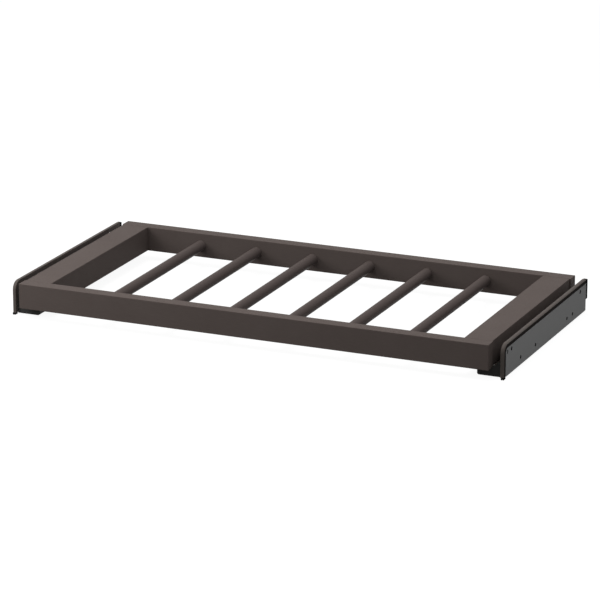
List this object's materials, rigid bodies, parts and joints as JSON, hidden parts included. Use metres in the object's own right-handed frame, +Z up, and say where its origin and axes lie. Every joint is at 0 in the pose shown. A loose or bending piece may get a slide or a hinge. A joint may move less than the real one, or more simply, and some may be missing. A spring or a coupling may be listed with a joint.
{
  "type": "pull-out pants hanger",
  "caption": "Board frame with round cross rods that pulls out of a wardrobe on telescopic ball runners, for hanging folded trousers; screws to the wardrobe's side walls.",
  "frame": {"origin": "under the middle of the hanger, at the bottom of the front feet", "axes": "+X across the wardrobe to the right, +Y to the back, +Z up"},
  "size_m": [0.963, 0.459, 0.067],
  "materials": {
    "board_foil": "particleboard wrapped in dark grey-brown matt foil with fine wood pores",
    "rod_paint": "steel tube, dark grey-brown powder coat, satin",
    "beech": "plain beech dowels",
    "zinc": "zinc-plated and cast zinc fittings",
    "black_steel": "steel, black oxide",
    "carrier_paint": "folded sheet steel, dark grey-brown powder coat, satin",
    "black_plastic": "moulded black polymer",
    "slide_steel": "cold-rolled steel, zinc plated, lightly greased",
    "ball_steel": "polished bearing steel",
    "plate_steel": "sheet steel, mid-grey powder coat",
    "cover_plastic": "moulded grey-brown polymer, satin",
    "bumper_rubber": "soft black rubber"
  },
  "bodies": {
    "runner_fixed": {"left_plate": "plate_steel", "right_plate": "plate_steel", "left_cover": "cover_plastic", "right_cover": "cover_plastic", "left_edge_strip": "black_plastic", "right_edge_strip": "black_plastic", "left_rear_cap": "black_plastic", "right_rear_cap": "black_plastic", "left_foot": "black_plastic", "right_foot": "black_plastic", "left_spacer": "plate_steel", "right_spacer": "plate_steel", "left_cabinet_member": "slide_steel", "right_cabinet_member": "slide_steel", "plate_rivets": "black_steel", "rear_bumpers": "bumper_rubber"},
    "pull_out_frame": {"front_rail": "board_foil", "back_rail": "board_foil", "left_side_rail": "board_foil", "right_side_rail": "board_foil", "rod_1": "rod_paint", "rod_2": "rod_paint", "rod_3": "rod_paint", "rod_4": "rod_paint", "rod_5": "rod_paint", "rod_6": "rod_paint", "corner_dowels": "beech", "cam_bolts": "zinc", "cam_discs": "zinc", "frame_screws": "black_steel", "carrier_rivets": "slide_steel", "left_carrier": "carrier_paint", "right_carrier": "carrier_paint", "left_carrier_cap": "black_plastic", "right_carrier_cap": "black_plastic", "left_drawer_member": "slide_steel", "right_drawer_member": "slide_steel"},
    "middle_members": {"left_middle_member": "slide_steel", "right_middle_member": "slide_steel"},
    "outer_cages": {"left_outer_cage": "slide_steel", "right_outer_cage": "slide_steel", "outer_balls": "ball_steel"},
    "inner_cages": {"left_inner_cage": "slide_steel", "right_inner_cage": "slide_steel", "inner_balls": "ball_steel"}
  },
  "joints": [
    {"name": "frame_slide", "type": "slide", "parent": "runner_fixed", "child": "pull_out_frame", "axis": [0, -1, 0], "range_m": [0, 0.4]},
    {"name": "middle_slide", "type": "slide", "parent": "runner_fixed", "child": "middle_members", "axis": [0, -1, 0], "range_m": [0, 0.2]},
    {"name": "outer_cage_slide", "type": "slide", "parent": "runner_fixed", "child": "outer_cages", "axis": [0, -1, 0], "range_m": [0, 0.1]},
    {"name": "inner_cage_slide", "type": "slide", "parent": "runner_fixed", "child": "inner_cages", "axis": [0, -1, 0], "range_m": [0, 0.3]}
  ],
  "couplings": [
    {"joint": "middle_slide", "follows": "frame_slide", "ratio": 0.5},
    {"joint": "outer_cage_slide", "follows": "frame_slide", "ratio": 0.25},
    {"joint": "inner_cage_slide", "follows": "frame_slide", "ratio": 0.75}
  ]
}
